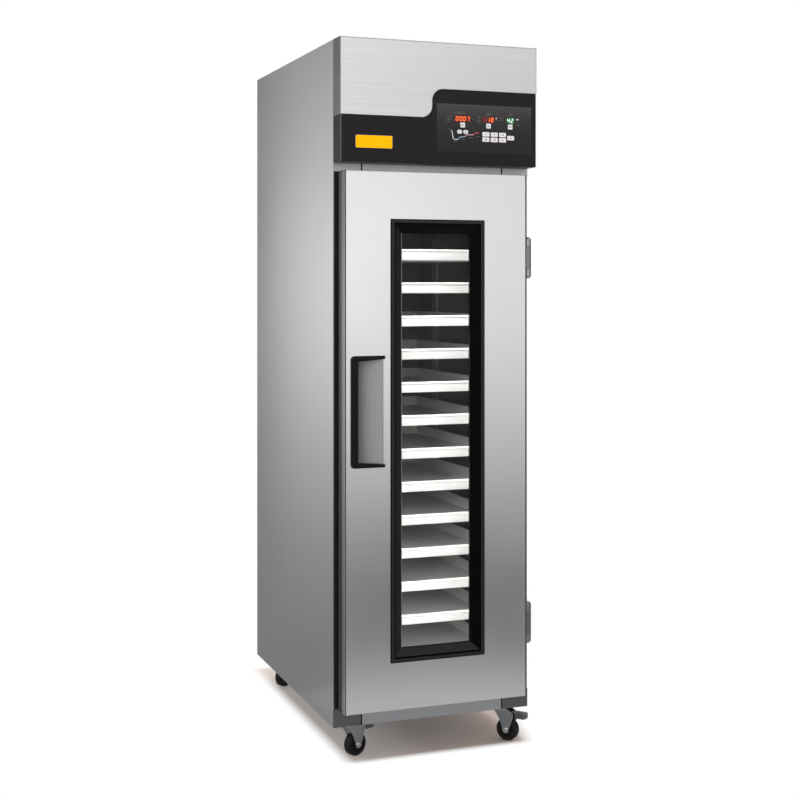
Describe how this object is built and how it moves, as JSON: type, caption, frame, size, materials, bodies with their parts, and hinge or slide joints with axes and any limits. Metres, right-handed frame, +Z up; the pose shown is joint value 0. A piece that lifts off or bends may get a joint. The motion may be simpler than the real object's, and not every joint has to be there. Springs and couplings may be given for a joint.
{
  "type": "proofing box",
  "caption": "Tall insulated dough proofing cabinet on swivel casters, with a glazed hinged door, recessed grip, tray racks and a key panel in its head.",
  "frame": {"origin": "on the floor under the middle of the bounding box", "axes": "+Z up, the door faces -Y, +X to the viewer's right when facing the door"},
  "size_m": [0.54, 0.851, 1.833],
  "materials": {
    "stainless": "brushed stainless steel",
    "plated_steel": "zinc plated steel",
    "black_plastic": "satin black plastic",
    "key_plastic": "smooth white plastic",
    "wheel_rubber": "matte black rubber",
    "aluminium": "bare rolled aluminium",
    "clear_glass": "clear float glass",
    "seal_rubber": "soft dark rubber",
    "foam": "rigid insulating foam",
    "display_plastic": "tinted display window",
    "board": "green circuit board",
    "badge": "amber plate with a dark rim",
    "motor": "dark painted motor can",
    "lamp_lens": "white lamp diffuser",
    "black_enamel": "black enamel"
  },
  "bodies": {
    "cabinet": {"side_panels": "stainless", "top_panel": "stainless", "back_panel": "stainless", "base_pan": "stainless", "front_bars": "stainless", "breaker_frame": "black_plastic", "inner_liner": "stainless", "insulation": "foam", "machine_deck": "plated_steel", "head_fascia": "stainless", "control_panel": "black_plastic", "overlay_plate": "black_plastic", "displays": "display_plastic", "control_board": "board", "badge_plate": "badge", "tray_racks": "stainless", "trays": "aluminium", "duct_panel": "stainless", "fan_motor": "motor", "heater": "plated_steel", "water_pan": "stainless", "chamber_lamps": "lamp_lens", "compressor": "black_enamel", "condenser": "aluminium", "cord_gland": "black_plastic", "hinge_brackets": "plated_steel", "caster_plates": "plated_steel"},
    "door": {"door_skin": "stainless", "door_liner": "stainless", "door_foam": "foam", "window_frame": "black_plastic", "window_panes": "clear_glass", "window_retainer": "black_plastic", "door_gasket": "seal_rubber", "handle_bezel": "black_plastic", "handle_pocket": "stainless", "hinge_straps": "plated_steel"},
    "fan": {"circulation_fan": "aluminium"},
    "set_key_1": {"set_key_1": "key_plastic"},
    "set_key_2": {"set_key_2": "key_plastic"},
    "set_key_3": {"set_key_3": "key_plastic"},
    "start_key": {"start_key": "key_plastic"},
    "stop_key": {"stop_key": "key_plastic"},
    "pad_key_1": {"pad_key_1": "key_plastic"},
    "pad_key_2": {"pad_key_2": "key_plastic"},
    "pad_key_3": {"pad_key_3": "key_plastic"},
    "pad_key_4": {"pad_key_4": "key_plastic"},
    "pad_key_5": {"pad_key_5": "key_plastic"},
    "pad_key_6": {"pad_key_6": "key_plastic"},
    "pad_key_7": {"pad_key_7": "key_plastic"},
    "front_left_fork": {"front_left_fork": "plated_steel"},
    "front_left_wheel": {"front_left_wheel": "wheel_rubber"},
    "front_left_pedal": {"front_left_pedal": "black_plastic"},
    "front_right_fork": {"front_right_fork": "plated_steel"},
    "front_right_wheel": {"front_right_wheel": "wheel_rubber"},
    "front_right_pedal": {"front_right_pedal": "black_plastic"},
    "rear_left_fork": {"rear_left_fork": "plated_steel"},
    "rear_left_wheel": {"rear_left_wheel": "wheel_rubber"},
    "rear_right_fork": {"rear_right_fork": "plated_steel"},
    "rear_right_wheel": {"rear_right_wheel": "wheel_rubber"}
  },
  "joints": [
    {"name": "door_swing", "type": "hinge", "parent": "cabinet", "child": "door", "pos_m": [0.248, -0.4005, 0.80675], "axis": [0, 0, 1], "range_deg": [0, 120]},
    {"name": "fan_spin", "type": "hinge", "parent": "cabinet", "child": "fan", "pos_m": [0, 0.3022, 1.3285], "axis": [0, 1, 0], "continuous": true},
    {"name": "set_key_1_press", "type": "slide", "parent": "cabinet", "child": "set_key_1", "axis": [0, 1, 0], "range_m": [0, 0.0008], "stiffness_N_per_m": 900, "springref_m": -0.0008},
    {"name": "set_key_2_press", "type": "slide", "parent": "cabinet", "child": "set_key_2", "axis": [0, 1, 0], "range_m": [0, 0.0008], "stiffness_N_per_m": 900, "springref_m": -0.0008},
    {"name": "set_key_3_press", "type": "slide", "parent": "cabinet", "child": "set_key_3", "axis": [0, 1, 0], "range_m": [0, 0.0008], "stiffness_N_per_m": 900, "springref_m": -0.0008},
    {"name": "start_key_press", "type": "slide", "parent": "cabinet", "child": "start_key", "axis": [0, 1, 0], "range_m": [0, 0.0008], "stiffness_N_per_m": 900, "springref_m": -0.0008},
    {"name": "stop_key_press", "type": "slide", "parent": "cabinet", "child": "stop_key", "axis": [0, 1, 0], "range_m": [0, 0.0008], "stiffness_N_per_m": 900, "springref_m": -0.0008},
    {"name": "pad_key_1_press", "type": "slide", "parent": "cabinet", "child": "pad_key_1", "axis": [0, 1, 0], "range_m": [0, 0.0008], "stiffness_N_per_m": 900, "springref_m": -0.0008},
    {"name": "pad_key_2_press", "type": "slide", "parent": "cabinet", "child": "pad_key_2", "axis": [0, 1, 0], "range_m": [0, 0.0008], "stiffness_N_per_m": 900, "springref_m": -0.0008},
    {"name": "pad_key_3_press", "type": "slide", "parent": "cabinet", "child": "pad_key_3", "axis": [0, 1, 0], "range_m": [0, 0.0008], "stiffness_N_per_m": 900, "springref_m": -0.0008},
    {"name": "pad_key_4_press", "type": "slide", "parent": "cabinet", "child": "pad_key_4", "axis": [0, 1, 0], "range_m": [0, 0.0008], "stiffness_N_per_m": 900, "springref_m": -0.0008},
    {"name": "pad_key_5_press", "type": "slide", "parent": "cabinet", "child": "pad_key_5", "axis": [0, 1, 0], "range_m": [0, 0.0008], "stiffness_N_per_m": 900, "springref_m": -0.0008},
    {"name": "pad_key_6_press", "type": "slide", "parent": "cabinet", "child": "pad_key_6", "axis": [0, 1, 0], "range_m": [0, 0.0008], "stiffness_N_per_m": 900, "springref_m": -0.0008},
    {"name": "pad_key_7_press", "type": "slide", "parent": "cabinet", "child": "pad_key_7", "axis": [0, 1, 0], "range_m": [0, 0.0008], "stiffness_N_per_m": 900, "springref_m": -0.0008},
    {"name": "front_left_swivel", "type": "hinge", "parent": "cabinet", "child": "front_left_fork", "pos_m": [-0.214, -0.3065, 0.0834], "axis": [0, 0, 1], "continuous": true},
    {"name": "front_left_roll", "type": "hinge", "parent": "front_left_fork", "child": "front_left_wheel", "pos_m": [-0.1936, -0.29826, 0.03], "axis": [-0.3746, 0.9272, 0], "continuous": true},
    {"name": "front_left_brake", "type": "hinge", "parent": "front_left_fork", "child": "front_left_pedal", "pos_m": [-0.17969, -0.29264, 0.069], "axis": [-0.3746, 0.9272, 0], "range_deg": [0, 10]},
    {"name": "front_right_swivel", "type": "hinge", "parent": "cabinet", "child": "front_right_fork", "pos_m": [0.214, -0.3065, 0.0834], "axis": [0, 0, 1], "continuous": true},
    {"name": "front_right_roll", "type": "hinge", "parent": "front_right_fork", "child": "front_right_wheel", "pos_m": [0.22754, -0.32384, 0.03], "axis": [0.788, 0.6157, 0], "continuous": true},
    {"name": "front_right_brake", "type": "hinge", "parent": "front_right_fork", "child": "front_right_pedal", "pos_m": [0.23678, -0.33566, 0.069], "axis": [0.788, 0.6157, 0], "range_deg": [0, 10]},
    {"name": "rear_left_swivel", "type": "hinge", "parent": "cabinet", "child": "rear_left_fork", "pos_m": [-0.214, 0.3595, 0.0834], "axis": [0, 0, 1], "continuous": true},
    {"name": "rear_left_roll", "type": "hinge", "parent": "rear_left_fork", "child": "rear_left_wheel", "pos_m": [-0.19598, 0.37212, 0.03], "axis": [-0.5736, 0.8192, 0], "continuous": true},
    {"name": "rear_right_swivel", "type": "hinge", "parent": "cabinet", "child": "rear_right_fork", "pos_m": [0.214, 0.3595, 0.0834], "axis": [0, 0, 1], "continuous": true},
    {"name": "rear_right_roll", "type": "hinge", "parent": "rear_right_fork", "child": "rear_right_wheel", "pos_m": [0.19495, 0.3705, 0.03], "axis": [-0.5, -0.866, 0], "continuous": true}
  ]
}
